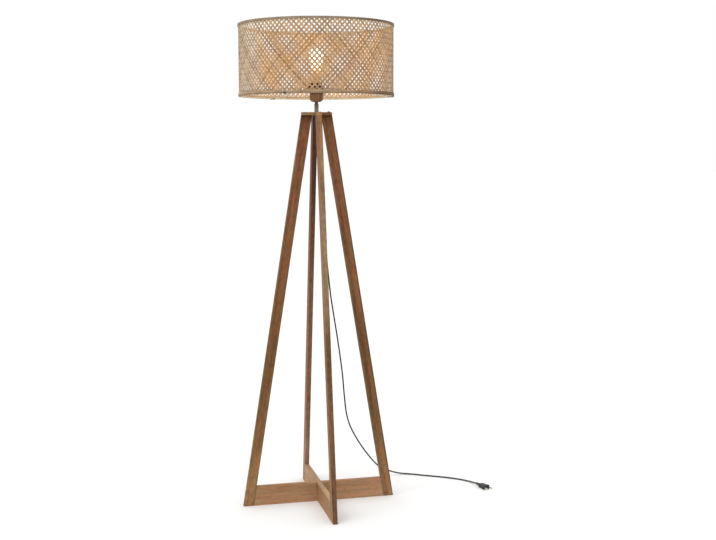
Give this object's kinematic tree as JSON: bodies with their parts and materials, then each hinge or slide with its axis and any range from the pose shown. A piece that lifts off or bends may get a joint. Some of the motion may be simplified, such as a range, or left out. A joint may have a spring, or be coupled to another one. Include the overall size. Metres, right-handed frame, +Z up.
{
  "type": "floor lamp",
  "caption": "Floor lamp with two crossed bamboo A-frames, a short stem, a screw lampholder and a woven bamboo drum shade on a wire spider",
  "frame": {"origin": "on the floor, under the lamp's axis, at the middle of the crossed frames", "axes": "+Z up the lamp's axis, +X to the right end and +Y to the back end of the crossed frames"},
  "size_m": [0.8567, 0.51, 1.568],
  "materials": {
    "leg_bamboo": "satin lacquered bamboo board, warm brown",
    "rail_bamboo": "satin lacquered bamboo board, lighter warm brown",
    "split_bamboo": "flat split bamboo strips, woven, matte",
    "rim_bamboo": "bent bamboo hoop, matte",
    "beech": "plain turned dowel, raw",
    "brown_plastic": "brown moulded lampholder plastic",
    "brown_metal": "brown painted steel",
    "steel": "zinc plated steel",
    "dark_steel": "dark bronzed steel",
    "brass": "plain brass sheet",
    "ceramic": "unglazed white ceramic",
    "opal_glass": "opal glass, lit from inside",
    "clear_glass": "clear glass",
    "black_glass": "black glass insulator",
    "filament": "glowing filament",
    "black_flex": "smooth dark flex and moulded plug"
  },
  "bodies": {
    "lamp": {"leg_left": "leg_bamboo", "leg_right": "leg_bamboo", "leg_front": "leg_bamboo", "leg_back": "leg_bamboo", "rail_left_right": "rail_bamboo", "rail_front_back": "rail_bamboo", "bar_left_right": "rail_bamboo", "bar_front_back": "rail_bamboo", "bar_screw_left": "dark_steel", "dowel_left_lower": "beech", "dowel_left_upper": "beech", "bar_screw_right": "dark_steel", "dowel_right_lower": "beech", "dowel_right_upper": "beech", "bar_screw_front": "dark_steel", "dowel_front_lower": "beech", "dowel_front_upper": "beech", "bar_screw_back": "dark_steel", "dowel_back_lower": "beech", "dowel_back_upper": "beech", "stem_sleeve": "brown_metal", "threaded_rod": "dark_steel", "stem_washer": "dark_steel", "stem_nut": "dark_steel", "holder_lock_nut": "steel", "flex_bush": "black_flex", "flex_in_stem": "black_flex", "lead_live": "black_flex", "lead_neutral": "black_flex", "holder_cap": "brown_plastic", "holder_shell": "brown_plastic", "shade_ring_lower": "brown_plastic", "shade_ring_upper": "brown_plastic", "holder_insert": "ceramic", "centre_contact": "brass", "screw_shell": "brass", "terminal_screw_live": "brass", "terminal_screw_neutral": "brass", "spider": "steel", "rim_clip_right": "dark_steel", "rim_clip_back": "dark_steel", "rim_clip_front": "dark_steel", "wire_ring_lower": "brown_metal", "wire_ring_upper": "brown_metal", "shade_weave": "split_bamboo", "outer_hoop_lower": "rim_bamboo", "outer_hoop_upper": "rim_bamboo", "inner_hoop_lower": "rim_bamboo", "inner_hoop_upper": "rim_bamboo", "flex": "black_flex", "plug_body": "black_flex", "plug_pin_left": "steel", "plug_pin_right": "steel"},
    "bulb_base": {"bulb_insulator": "black_glass", "bulb_contact": "steel"},
    "bulb": {"bulb_cap": "brass", "bulb_glass": "opal_glass", "bulb_mount": "clear_glass", "bulb_filament": "filament"}
  },
  "joints": [
    {"name": "bulb_rise", "type": "slide", "parent": "lamp", "child": "bulb_base", "axis": [0, 0, 1], "range_m": [0, 0.0128]},
    {"name": "bulb_turn", "type": "hinge", "parent": "bulb_base", "child": "bulb", "pos_m": [0, 0, 1.3604], "axis": [0, 0, 1], "range_deg": [0, 1260]}
  ],
  "couplings": [
    {"joint": "bulb_rise", "follows": "bulb_turn", "m_per_rad": 0.00057757}
  ]
}
